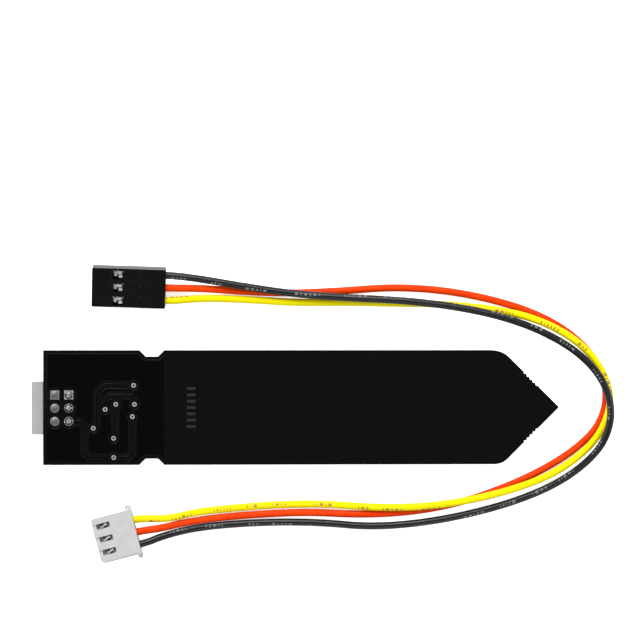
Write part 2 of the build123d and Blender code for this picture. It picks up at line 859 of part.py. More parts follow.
def tongue():
    """Sprung tongue with a rounded root on its hinge line and a hook behind the contact's box."""
    root_x = tongue_end - tongue_thickness / 2
    middle_z = band_top - tongue_thickness / 2
    strip = Pos((tongue_start + root_x) / 2, middle_z) * Rectangle(root_x - tongue_start, tongue_thickness)
    hook_top = band_top - tongue_thickness
    hook = make_face(
        Polyline(
            (tongue_start, hook_top),
            (tongue_start, hook_top - tongue_hook),
            (tongue_start + 2 * tongue_hook, hook_top),
            close=True,
        )
    )
    profile = strip + hook + Pos(root_x, middle_z) * Circle(tongue_thickness / 2)
    solid = extrude(Plane.XZ * profile, tongue_width / 2, both=True)
    free_end = solid.edges().filter_by(Axis.Z).group_by(Axis.X)[0]
    return fillet(free_end, tongue_round)


socket_turned = Rot(0, 0, socket_turn) * Rot(socket_roll, 0, 0)
socket_lift = -(socket_turned * socket).bounding_box().min.Z
socket_place = Pos(socket_middle[0], socket_middle[1], socket_lift) * socket_turned
socket_place = socket_place * Pos(-socket_length / 2, 0, 0)

lead_nodes["socket_housing"] = socket_place * socket
for number, way_y in enumerate(socket_rows, start=1):
    lead_nodes[f"socket_contact_{number}"] = socket_place * Pos(0, way_y, 0) * socket_contact()
    lead_nodes[f"latch_tongue_{number}"] = socket_place * Pos(0, way_y, 0) * tongue()

# =================================================================== Wires


def bore_points(place, seat, mouth, way_y, lean):
    """A wire's end on its contact, and the point just outside the bore where it starts to bend."""
    straight = mouth + wire_lead_out - seat
    touch = wire_diameter / 2 * abs(lean) / straight  # how far the leaning end's rim reaches back
    ends = ((seat + touch, way_y), (seat + straight, way_y - lean))
    return [(place * Pos(along, across, 0)).position for along, across in ends]


def wire_path(name, points):
    """Straight runs joined by arcs as large as the runs allow."""
    radii = []
    for before, corner, after in zip(points, points[1:], points[2:]):
        run_in, run_out = corner - before, after - corner
        half_turn = radians(run_in.get_angle(run_out)) / 2
        radii.append(arc_share * min(run_in.length, run_out.length) / tan(half_turn))
    print(name, "radii", [round(radius, 1) for radius in radii])
    return FilletPolyline(*points, radius=radii)


for (name, route), socket_y, plug_y, plug_lean in zip(
    wire_routes.items(), socket_rows, reversed(plug_rows), plug_leans
):
    points = bore_points(socket_place, socket_wire_start, socket_length, socket_y, 0)
    points += [Vector(*point) for point in route]
    points += reversed(bore_points(plug_place, plug_wire_start, plug_length, plug_y, plug_lean))
    path = wire_path(name, points)
    wire = sweep(Plane(origin=path @ 0, z_dir=path % 0) * Circle(wire_diameter / 2), path=path)
    solid_length = wire.volume / (pi * wire_diameter**2 / 4)
    print(name, "length", round(path.length, 2), "volume over section", round(solid_length, 2))
    lead_nodes[name] = wire

# =================================================================== Writing the pieces

os.makedirs("parts", exist_ok=True)
for name, shape in (sensor_nodes | lead_nodes).items():
    export_step(shape, f"parts/{name}.step")
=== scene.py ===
"""Looks of a soil moisture probe and its loose three-wire lead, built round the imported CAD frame.

Metres throughout, in the frame's own axes: +X along the blade, +Z up, the probe lying on z = 0.
"""

import json
import logging
import math
import random
from bisect import bisect_left
from dataclasses import dataclass
from enum import Enum

import bpy
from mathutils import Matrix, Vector

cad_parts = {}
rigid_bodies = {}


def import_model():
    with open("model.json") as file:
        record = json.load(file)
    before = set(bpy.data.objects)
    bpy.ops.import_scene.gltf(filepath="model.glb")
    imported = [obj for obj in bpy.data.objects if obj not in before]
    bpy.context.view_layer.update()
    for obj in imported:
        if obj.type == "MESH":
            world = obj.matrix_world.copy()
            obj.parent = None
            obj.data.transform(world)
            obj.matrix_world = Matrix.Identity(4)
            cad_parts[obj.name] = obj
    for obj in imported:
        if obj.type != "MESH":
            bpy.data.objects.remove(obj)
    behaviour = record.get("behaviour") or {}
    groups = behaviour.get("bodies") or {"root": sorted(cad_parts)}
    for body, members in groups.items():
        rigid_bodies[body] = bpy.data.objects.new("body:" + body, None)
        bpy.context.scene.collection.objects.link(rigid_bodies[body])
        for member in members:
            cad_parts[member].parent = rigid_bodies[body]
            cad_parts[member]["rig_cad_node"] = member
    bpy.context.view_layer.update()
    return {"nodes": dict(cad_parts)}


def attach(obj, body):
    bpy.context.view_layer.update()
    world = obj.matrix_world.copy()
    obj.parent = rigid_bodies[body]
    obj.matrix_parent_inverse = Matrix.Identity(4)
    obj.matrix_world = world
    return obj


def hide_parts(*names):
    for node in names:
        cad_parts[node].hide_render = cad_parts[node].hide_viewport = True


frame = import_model()

MM = 0.001
SHARP_ANGLE = math.radians(35)  # a moulded edge sharper than this is rounded
WELD_GAP = 0.001 * MM  # corners nearer to each other than this are one
Colour = tuple[float, float, float]
Corners = tuple[int, ...]
Socket = bpy.types.NodeSocket
log = logging.getLogger("probe")


class Wire(Enum):
    """The three wires of the lead, by the colour of their insulation."""

    BLACK = "black"
    RED = "red"
    YELLOW = "yellow"


class Relief(Enum):
    """Fine surface relief that a finish carries."""

    GRAIN = "grain"
    WEAVE = "weave"
    DRAWN = "drawn"
    RIPPLE = "ripple"


# Each wire from its contact in the black socket housing, round past the point of the blade, to its
# contact in the white plug.
WIRE_ROUTES: dict[Wire, tuple[tuple[float, float, float], ...]] = {
    Wire.BLACK: (
        (-0.02752, 0.02520, 0.00287),
        (-0.02353, 0.02507, 0.00287),
        (-0.01750, 0.02430, 0.00280),
        (-0.00950, 0.02290, 0.00260),
        (0.00000, 0.02150, 0.00240),
        (0.01050, 0.02075, 0.00240),
        (0.02050, 0.02030, 0.00245),
        (0.03050, 0.01915, 0.00250),
        (0.04000, 0.01710, 0.00275),
        (0.04800, 0.01400, 0.00280),
        (0.05440, 0.01000, 0.00330),
        (0.05870, 0.00500, 0.00395),
        (0.06030, -0.00070, 0.00395),
        (0.05905, -0.00620, 0.00360),
        (0.05550, -0.01060, 0.00240),
        (0.04980, -0.01470, 0.00110),
        (0.04200, -0.01800, 0.00075),
        (0.03300, -0.02050, 0.00070),
        (0.02350, -0.02220, 0.00070),
        (0.01400, -0.02285, 0.00070),
        (0.00500, -0.02200, 0.00070),
        (-0.00450, -0.02190, 0.00070),
        (-0.01350, -0.02240, 0.00075),
        (-0.02000, -0.02320, 0.00120),
        (-0.02530, -0.02455, 0.00240),
        (-0.02846, -0.02590, 0.00291),
        (-0.03185, -0.02661, 0.00289),
    ),
    Wire.RED: (
        (-0.02760, 0.02275, 0.00221),
        (-0.02360, 0.02262, 0.00221),
        (-0.01780, 0.02260, 0.00190),
        (-0.00950, 0.02195, 0.00085),
        (-0.00050, 0.02165, 0.00070),
        (0.00900, 0.02210, 0.00070),
        (0.01850, 0.02285, 0.00070),
        (0.02800, 0.02230, 0.00070),
        (0.03700, 0.02065, 0.00070),
        (0.04550, 0.01805, 0.00070),
        (0.05260, 0.01410, 0.00070),
        (0.05775, 0.00870, 0.00070),
        (0.05965, 0.00240, 0.00070),
        (0.05800, -0.00360, 0.00070),
        (0.05340, -0.00810, 0.00070),
        (0.04700, -0.01210, 0.00070),
        (0.03950, -0.01550, 0.00070),
        (0.03100, -0.01840, 0.00070),
        (0.02150, -0.02010, 0.00070),
        (0.01200, -0.02050, 0.00070),
        (0.00300, -0.02000, 0.00070),
        (-0.00600, -0.02035, 0.00075),
        (-0.01400, -0.02100, 0.00090),
        (-0.02050, -0.02185, 0.00140),
        (-0.02560, -0.02305, 0.00230),
        (-0.02910, -0.02350, 0.00265),
        (-0.03249, -0.02421, 0.00263),
    ),
    Wire.YELLOW: (
        (-0.02768, 0.02030, 0.00155),
        (-0.02368, 0.02017, 0.00155),
        (-0.01770, 0.02075, 0.00140),
        (-0.00950, 0.02050, 0.00090),
        (0.00000, 0.01985, 0.00070),
        (0.00950, 0.01995, 0.00070),
        (0.01900, 0.01975, 0.00070),
        (0.02800, 0.01960, 0.00070),
        (0.03650, 0.01880, 0.00095),
        (0.04450, 0.01730, 0.00220),
        (0.05220, 0.01380, 0.00225),
        (0.05780, 0.00860, 0.00225),
        (0.06040, 0.00190, 0.00225),
        (0.05875, -0.00410, 0.00215),
        (0.05510, -0.00860, 0.00175),
        (0.04900, -0.01285, 0.00175),
        (0.04150, -0.01570, 0.00220),
        (0.03250, -0.01790, 0.00225),
        (0.02350, -0.01905, 0.00220),
        (0.01450, -0.01910, 0.00160),
        (0.00550, -0.01840, 0.00090),
        (-0.00400, -0.01860, 0.00075),
        (-0.01250, -0.01930, 0.00100),
        (-0.01880, -0.01997, 0.00170),
        (-0.02420, -0.02130, 0.00230),
        (-0.02974, -0.02110, 0.00239),
        (-0.03314, -0.02180, 0.00237),
    ),
}


class Tree:
    """Adds and joins nodes in one shader tree."""

    def __init__(self, tree: bpy.types.NodeTree) -> None:
        """Starts from a tree with nothing in it."""
        self.tree = tree
        tree.nodes.clear()

    def add(self, kind: str, **settings: object) -> bpy.types.Node:
        """Adds a node of a kind, named without its ShaderNode part, and sets some of its properties."""
        node = self.tree.nodes.new("ShaderNode" + kind)
        for name, value in settings.items():
            setattr(node, name, value)
        return node

    def join(self, source: object, target: Socket) -> None:
        """Feeds a socket from another one, or from a plain value."""
        if isinstance(source, Socket):
            self.tree.links.new(source, target)
        else:
            target.default_value = source

    def maths(self, operation: str, first: object, second: object = 0.0) -> Socket:
        """Does one sum with two sockets or numbers."""
        node = self.add("Math", operation=operation)
        for socket, value in zip(node.inputs, (first, second)):
            self.join(value, socket)
        return node.outputs[0]

    def dot(self, vector: Socket, other: object) -> Socket:
        """Gives the dot product of a vector with another socket or a plain direction."""
        node = self.add("VectorMath", operation="DOT_PRODUCT")
        for socket, value in zip(node.inputs, (vector, other)):
            self.join(value, socket)
        return node.outputs["Value"]

    def spread(self, value: Socket, low: float, high: float) -> Socket:
        """Stretches values between low and high to run from 0 to 1."""
        node = self.add("MapRange")
        self.join(value, node.inputs["Value"])
        node.inputs["From Min"].default_value = low
        node.inputs["From Max"].default_value = high
        return node.outputs["Result"]

    def noise(self, vector: Socket, scale: object, detail: float) -> Socket:
        """Adds a noise pattern.

        Args:
            vector: The point it is read at.
            scale: Blotches to the metre, as a socket or a number.
            detail: How many finer layers it has.
        """
        node = self.add("TexNoise")
        self.join(vector, node.inputs["Vector"])
        self.join(scale, node.inputs["Scale"])
        self.join(detail, node.inputs["Detail"])
        return node.outputs["Fac"]

    def blend(self, share: object, first: object, second: object) -> Socket:
        """Mixes two sockets or colours; the share is how much of the second one shows."""
        node = self.add("Mix", data_type="RGBA")
        self.join(share, node.inputs["Factor"])
        colours = [socket for socket in node.inputs if socket.type == "RGBA"]
        for socket, value in zip(colours, (first, second)):
            self.join(value if isinstance(value, Socket) else (*value, 1.0), socket)
        return next(socket for socket in node.outputs if socket.type == "RGBA")


class Effects:
    """Shader node groups that several finishes share.

    A pattern's ranges say which of its values become 0 and 1.

    Attributes:
        built: The groups made so far, by name.
    """

    built: dict[str, bpy.types.NodeTree] = {}

    @classmethod
    def group(cls, name: str) -> bpy.types.NodeTree:
        """Gives the shared group of that name, building it the first time."""
        if name not in cls.built:
            cls.built[name] = getattr(cls, "_" + name)()
        return cls.built[name]

    @staticmethod
    def _start(name: str, inputs: dict[str, str], outputs: dict[str, str]) -> tuple[Tree, object, object]:
        """Starts a group with sockets of the types given, and gives its tree, inputs and outputs."""
        group = bpy.data.node_groups.new(name, "ShaderNodeTree")
        tree = Tree(group)
        for direction, sockets in (("INPUT", inputs), ("OUTPUT", outputs)):
            for label, kind in sockets.items():
                group.interface.new_socket(label, in_out=direction, socket_type="NodeSocket" + kind)
        incoming = group.nodes.new("NodeGroupInput")
        outgoing = group.nodes.new("NodeGroupOutput")
        return tree, incoming.outputs, outgoing.inputs

    @classmethod
    def _start_relief(cls, name: str) -> tuple[Tree, object, object]:
        """Starts a group that gives a relief's height at a point."""
        return cls._start(name, {"Vector": "Vector", "Pitch": "Float"}, {"Height": "Float"})

    @classmethod
    def _mottle(cls) -> bpy.types.NodeTree:
        """Builds the uneven colour and gloss that any real surface has."""
        fine_to_broad = 7.3
        broad_share, fine_share = 0.7, 0.3
        colour_range, gloss_range = (0.32, 0.68), (0.35, 0.65)
        inputs = {
            "Vector": "Vector",
            "Blotches": "Float",
            "Light": "Color",
            "Dark": "Color",
            "Smooth": "Float",
            "Rough": "Float",
        }
        tree, given, result = cls._start("mottle", inputs, {"Colour": "Color", "Gloss": "Float"})
        broad = tree.noise(given["Vector"], given["Blotches"], 4.0)
        fine = tree.noise(given["Vector"], tree.maths("MULTIPLY", given["Blotches"], fine_to_broad), 2.0)
        parts = (tree.maths("MULTIPLY", broad, broad_share), tree.maths("MULTIPLY", fine, fine_share))
        share = tree.spread(tree.maths("ADD", *parts), *colour_range)
        tree.join(tree.blend(share, given["Dark"], given["Light"]), result["Colour"])
        step = tree.maths("SUBTRACT", given["Rough"], given["Smooth"])
        extra = tree.maths("MULTIPLY", step, tree.spread(fine, *gloss_range))
        tree.join(tree.maths("ADD", given["Smooth"], extra), result["Gloss"])
        return tree.tree

    @classmethod
    def _edge_wear_and_highlight(cls) -> bpy.types.NodeTree:
        """Builds the patchy corner mask for a painted highlight, and for rubbing wear where there is any.
        """
        patches_to_the_metre = 2200.0
        corner_range, patch_range = (0.01, 0.16), (0.3, 0.62)
        inputs = {"Vector": "Vector", "Width": "Float"}
        tree, given, result = cls._start("edge_wear_and_highlight", inputs, {"Mask": "Float"})
        rounded = tree.add("Bevel", samples=4)
        tree.join(given["Width"], rounded.inputs["Radius"])
        alike = tree.dot(rounded.outputs["Normal"], tree.add("NewGeometry").outputs["Normal"])
        corner = tree.maths("SUBTRACT", 1.0, alike)
        # Patches break up the painted highlight and the wear along the corners.
        patchiness = tree.noise(given["Vector"], patches_to_the_metre, 3.0)
        masks = (tree.spread(corner, *corner_range), tree.spread(patchiness, *patch_range))
        tree.join(tree.maths("MULTIPLY", *masks), result["Mask"])
        return tree.tree

    @classmethod
    def _grain(cls) -> bpy.types.NodeTree:
        """Builds the fine texture that a mould leaves on plastic."""
        grit_to_pits, pit_share = 0.35, 0.4
        tree, given, result = cls._start_relief("grain")
        scale = tree.maths("DIVIDE", 1.0, given["Pitch"])
        pits = tree.add("TexVoronoi", feature="SMOOTH_F1")
        tree.join(given["Vector"], pits.inputs["Vector"])
        tree.join(scale, pits.inputs["Scale"])
        grit = tree.noise(given["Vector"], tree.maths("MULTIPLY", scale, grit_to_pits), 5.0)
        height = tree.maths("ADD", tree.maths("MULTIPLY", pits.outputs["Distance"], pit_share), grit)
        tree.join(height, result["Height"])
        return tree.tree

    @classmethod
    def _weave(cls) -> bpy.types.NodeTree:
        """Builds the glass cloth that shows faintly through a board's mask."""
        wave_scale = 0.314  # at which one wave is as long as the pitch
        flow_to_cloth, cloth_share = 0.6, 0.5
        tree, given, result = cls._start_relief("weave")
        scale = tree.maths("DIVIDE", wave_scale, given["Pitch"])
        strands = []
        for direction in ("X", "Y"):
            wave = tree.add("TexWave", bands_direction=direction, wave_profile="SIN")
            tree.join(given["Vector"], wave.inputs["Vector"])
            tree.join(scale, wave.inputs["Scale"])
            wave.inputs["Distortion"].default_value = 0.4
            strands.append(wave.outputs["Fac"])
        cloth = tree.maths("MULTIPLY", *strands)
        flow = tree.noise(given["Vector"], tree.maths("MULTIPLY", scale, flow_to_cloth), 3.0)
        tree.join(tree.maths("ADD", tree.maths("MULTIPLY", cloth, cloth_share), flow), result["Height"])
        return tree.tree

    @classmethod
    def _drawn(cls) -> bpy.types.NodeTree:
        """Builds the lines along X that rolling and stamping leave on sheet metal and drawn insulation."""
        line_thinness = 0.08
        tree, given, result = cls._start_relief("drawn")
        stretch = tree.add("Mapping")
        stretch.inputs["Scale"].default_value = (line_thinness, 1.0, 1.0)
        tree.join(given["Vector"], stretch.inputs["Vector"])
        lines = tree.noise(stretch.outputs["Vector"], tree.maths("DIVIDE", 1.0, given["Pitch"]), 4.0)
        tree.join(lines, result["Height"])
        return tree.tree

    @classmethod
    def _ripple(cls) -> bpy.types.NodeTree:
        """Builds the frozen ripples and dimples of solder that was melted by hand."""
        rings_to_lumps, ring_share = 0.4, 0.2
        tree, given, result = cls._start_relief("ripple")
        scale = tree.maths("DIVIDE", 1.0, given["Pitch"])
        lumps = tree.noise(given["Vector"], scale, 2.0)
        rings = tree.add("TexWave", wave_type="RINGS", rings_direction="SPHERICAL")
        tree.join(given["Vector"], rings.inputs["Vector"])
        tree.join(tree.maths("MULTIPLY", scale, rings_to_lumps), rings.inputs["Scale"])
        rings.inputs["Distortion"].default_value = 6.0
        height = tree.maths("ADD", lumps, tree.maths("MULTIPLY", rings.outputs["Fac"], ring_share))
        tree.join(height, result["Height"])
        return tree.tree


@dataclass(frozen=True)
class Finish:
    """One finish of the probe or its lead, and the node material that shows it.

    Attributes:
        slot: The record's material slot.
        light: The lighter colour of its mottling.
        dark: The darker colour of its mottling.
        gloss: Its roughness where smoothest and where roughest.
        blotch: The size of its patches of colour.
        relief: The kind of fine relief.
        pitch: The spacing of that relief.
        depth: How deep the relief is.
        metallic: 1 for bare metal.
        specular: The strength of its mirror-like shine.
        wear_and_highlight: The colour put at corners, if any: a painted highlight on the plastics, chips
            and pads, and rubbing wear that shows the brass on the pins.
        wear_and_highlight_width: How far in from a corner that painted highlight and wear go.
        label: The material's own name, where two finishes share a slot.
    """

    slot: str
    light: Colour
    dark: Colour
    gloss: tuple[float, float]
    blotch: float = 2.0 * MM
    relief: Relief = Relief.GRAIN
    pitch: float = 0.12 * MM
    depth: float = 0.002 * MM
    metallic: float = 0.0
    specular: float = 0.5
    wear_and_highlight: Colour | None = None
    wear_and_highlight_width: float = 0.09 * MM
    label: str | None = None

    def effect(self, tree: Tree, name: str, at: Socket) -> bpy.types.Node:
        """Places a shared group in the material's nodes, to be read at a point."""
        node = tree.add("Group")
        node.node_tree = Effects.group(name)
        tree.join(at, node.inputs["Vector"])
        return node

    def material(self) -> bpy.types.Material:
        """Gives the node material, building it the first time."""
        name = self.label or self.slot + "_finish"
        if name in bpy.data.materials:
            return bpy.data.materials[name]
        made = bpy.data.materials.new(name)
        made.use_nodes = True
        tree = Tree(made.node_tree)
        output = tree.add("OutputMaterial")
        shader = tree.add("BsdfPrincipled")
        tree.join(shader.outputs["BSDF"], output.inputs["Surface"])
        at = tree.add("TexCoord").outputs["Object"]
        mottle = self.effect(tree, "mottle", at)
        mottle.inputs["Blotches"].default_value = 1.0 / self.blotch
        mottle.inputs["Light"].default_value = (*self.light, 1.0)
        mottle.inputs["Dark"].default_value = (*self.dark, 1.0)
        mottle.inputs["Smooth"].default_value, mottle.inputs["Rough"].default_value = self.gloss
        colour = self.tint(tree, at, mottle.outputs["Colour"])
        # Painted highlight, with wear: patchy corners take a lighter colour on the plastics, chips and
        # pads, and brass on the pins.
        if self.wear_and_highlight is not None:
            highlight_and_wear = self.effect(tree, "edge_wear_and_highlight", at)
            highlight_and_wear.inputs["Width"].default_value = self.wear_and_highlight_width
            colour = tree.blend(highlight_and_wear.outputs["Mask"], colour, self.wear_and_highlight)
        tree.join(colour, shader.inputs["Base Color"])
        tree.join(mottle.outputs["Gloss"], shader.inputs["Roughness"])
        shader.inputs["Metallic"].default_value = self.metallic
        shader.inputs["Specular IOR Level"].default_value = self.specular
        relief = self.effect(tree, self.relief.value, at)
        relief.inputs["Pitch"].default_value = self.pitch
        bump = tree.add("Bump")
        bump.inputs["Distance"].default_value = self.depth
        tree.join(relief.outputs["Height"], bump.inputs["Height"])
        tree.join(bump.outputs["Normal"], shader.inputs["Normal"])
        return made

    def tint(self, tree: Tree, at: Socket, colour: Socket) -> Socket:
        """Gives the mottled colour as it is; a finish with more colours mixes them here."""
        return colour

    def dress(self, piece: bpy.types.Object) -> None:
        """Puts the finish on a piece, and on nothing else that shares its mesh."""
        if not piece.data.materials:
            piece.data.materials.append(None)
        for place in piece.material_slots:
            place.link = "OBJECT"
            place.material = self.material()


@dataclass(frozen=True)
class BoardFinish(Finish):
    """Solder mask on the board's two faces, with bare laminate on its cut edges.

    Attributes:
        face_way: Which way the solder face points.
        laminate: The colour of the cut edge.
        resin: How bright the resin between the layers of glass cloth is, beside the cloth.
        ply: The thickness of one layer of glass cloth.
        steepest: How squarely a surface still faces along face_way where it counts as an edge.
    """

    face_way: tuple[float, float, float] = (0.0, 0.0, 1.0)
    laminate: Colour = (0.03, 0.025, 0.018)
    resin: float = 0.5
    ply: float = 0.2 * MM
    steepest: float = 0.5

    def tint(self, tree: Tree, at: Socket, colour: Socket) -> Socket:
        """Keeps the mask's colour on the faces, and shows layered laminate on every cut edge."""
        facing = tree.dot(tree.add("NewGeometry").outputs["True Normal"], self.face_way)
        edge = tree.maths("LESS_THAN", tree.maths("ABSOLUTE", facing), self.steepest)
        height = tree.dot(at, self.face_way)
        layer = tree.maths("SINE", tree.maths("MULTIPLY", height, math.tau / self.ply))
        between = tuple(self.resin * c for c in self.laminate)
        cut = tree.blend(tree.spread(layer, -1.0, 1.0), between, self.laminate)
        return tree.blend(edge, colour, cut)


def linear(red: int, green: int, blue: int, share: float = 1.0) -> Colour:
    """Turns a colour chip's 0 to 255 values into the shader's, by the standard curve for screens.

    The share is how much of the light it sends back, to allow for a bright table.
    """
    chips = [value / 255 for value in (red, green, blue)]
    return tuple(share * (c / 12.92 if c <= 0.04045 else ((c + 0.055) / 1.055) ** 2.4) for c in chips)


BRIGHT = 0.5  # share of the light that pale plastic sends back under these lamps
FINISHES: dict[str, Finish] = {
    finish.label or finish.slot: finish
    for finish in (
        Finish("masked_copper", linear(3, 3, 4), linear(2, 2, 3), (0.2, 0.3), 1.4 * MM, Relief.WEAVE,
               0.5 * MM, 0.004 * MM, specular=0.08),
        # Painted highlight: a lighter copy of the mask over copper, for the bands over the copper's edges.
        Finish("masked_copper", linear(5, 5, 6), linear(3, 3, 4), (0.34, 0.46), 0.8 * MM, Relief.WEAVE,
               0.5 * MM, 0.003 * MM, specular=0.07, label="mask_over_edge_highlight"),
        Finish("dark_ink", linear(24, 24, 26), linear(17, 17, 19), (0.5, 0.65), 0.5 * MM, specular=0.2),
        Finish("white_ink", linear(220, 220, 215, BRIGHT), linear(198, 198, 192, BRIGHT), (0.5, 0.65),
               0.6 * MM),
        Finish("tinned_copper", (0.6, 0.6, 0.6), (0.4, 0.4, 0.4), (0.34, 0.46), 0.35 * MM, Relief.RIPPLE,
               0.25 * MM, 0.008 * MM, metallic=1.0),
        # Painted shade: a darker copy of the tinned copper for the spare pads, with a painted highlight on
        # their rims.
        Finish("tinned_copper", (0.24, 0.24, 0.24), (0.16, 0.16, 0.16), (0.42, 0.5), 0.9 * MM,
               Relief.RIPPLE, 0.4 * MM, 0.006 * MM, metallic=1.0, wear_and_highlight=(0.6, 0.6, 0.6), label="shaded_level_pad"),
        # Painted shade: a darker copy of the solder for the flat solder in the spare holes.
        Finish("solder", (0.15, 0.15, 0.155), (0.1, 0.1, 0.103), (0.42, 0.52), 0.3 * MM, Relief.RIPPLE,
               0.25 * MM, 0.012 * MM, metallic=1.0, label="shaded_level_solder"),
        Finish("solder", (0.4, 0.4, 0.41), (0.14, 0.14, 0.147), (0.1, 0.22), 0.5 * MM, Relief.RIPPLE,
               0.85 * MM, 0.34 * MM, metallic=1.0),
        # Painted highlights, with wear: the lighter corner colours of these nylon and epoxy parts.
        Finish("header_nylon", linear(198, 198, 197, BRIGHT), linear(186, 186, 186, BRIGHT), (0.38, 0.5),
               1.5 * MM, pitch=0.16 * MM, depth=0.006 * MM, specular=0.35,
               wear_and_highlight=linear(228, 228, 226, BRIGHT)),
        Finish("plug_nylon", linear(212, 212, 210, BRIGHT), linear(200, 200, 199, BRIGHT), (0.36, 0.48),
               1.5 * MM, pitch=0.16 * MM, depth=0.006 * MM, specular=0.35,
               wear_and_highlight=linear(232, 232, 230, BRIGHT)),
        Finish("black_nylon", linear(13, 13, 14), linear(9, 9, 10), (0.15, 0.23), 1.2 * MM,
               pitch=0.14 * MM, depth=0.003 * MM, specular=0.09, wear_and_highlight=linear(36, 36, 38)),
        Finish("chip_epoxy", linear(28, 28, 30), linear(18, 18, 20), (0.5, 0.65), 0.8 * MM,
               pitch=0.1 * MM, depth=0.006 * MM, wear_and_highlight=linear(60, 60, 62)),
        Finish("tinned_lead", (0.66, 0.66, 0.65), (0.5, 0.5, 0.49), (0.3, 0.45), 0.5 * MM, Relief.DRAWN,
               0.08 * MM, 0.006 * MM, metallic=1.0),
        Finish("tinned_pin", (0.68, 0.66, 0.62), (0.55, 0.53, 0.5), (0.22, 0.34), 0.6 * MM, Relief.DRAWN,
               0.06 * MM, 0.004 * MM, metallic=1.0, wear_and_highlight=(0.6, 0.5, 0.3)),
        Finish("tinned_contact", (0.62, 0.62, 0.61), (0.44, 0.44, 0.43), (0.26, 0.4), 0.4 * MM,
               Relief.DRAWN, 0.07 * MM, 0.008 * MM, metallic=1.0),
        Finish("tinned_contact", (0.5, 0.5, 0.5), (0.32, 0.32, 0.32), (0.5, 0.65), 0.4 * MM, Relief.DRAWN,
               0.07 * MM, 0.008 * MM, metallic=0.15, label="dull_contact"),
        Finish("resistor_glaze", linear(26, 26, 30), linear(16, 16, 20), (0.25, 0.4), 0.5 * MM),
        Finish("capacitor_ceramic", linear(150, 118, 86, BRIGHT), linear(128, 98, 70, BRIGHT), (0.45, 0.6),
               0.4 * MM),
        Finish("black_pvc", linear(13, 15, 18), linear(9, 11, 13), (0.3, 0.42), 3.0 * MM, Relief.DRAWN,
               0.3 * MM, 0.02 * MM, specular=0.24),
        Finish("red_pvc", linear(255, 76, 0, 0.56), linear(248, 56, 0, 0.56), (0.4, 0.5), 3.0 * MM,
               Relief.DRAWN, 0.3 * MM, 0.02 * MM, specular=0.06),
        Finish("yellow_pvc", linear(255, 242, 0, 0.6), linear(253, 232, 0, 0.6), (0.4, 0.5), 3.0 * MM,
               Relief.DRAWN, 0.3 * MM, 0.02 * MM, specular=0.06),
        Finish("black_pvc", linear(104, 106, 108), linear(70, 72, 74), (0.5, 0.6), 0.4 * MM, specular=0.2,
               label="black_wire_print"),
        Finish("yellow_pvc", linear(170, 128, 6, 0.56), linear(196, 156, 4, 0.56), (0.45, 0.55), 0.4 * MM,
               label="yellow_wire_print"),
    )
}


def add_object(name: str, data: bpy.types.ID) -> bpy.types.Object:
    """Makes an object of its data and puts it in the scene."""
    added = bpy.data.objects.new(name, data)
    bpy.context.scene.collection.objects.link(added)
    return added


def add_mesh(
    name: str, points: list[Vector], faces: list[Corners], smooth: bool = True
) -> bpy.types.Object:
    """Makes a mesh piece of points in the frame's axes and of faces, as numbers of points."""
    mesh = bpy.data.meshes.new(name)
    mesh.from_pydata([tuple(point) for point in points], [], faces)
    mesh.update()
    for face in mesh.polygons:
        face.use_smooth = smooth
    return add_object(name, mesh)


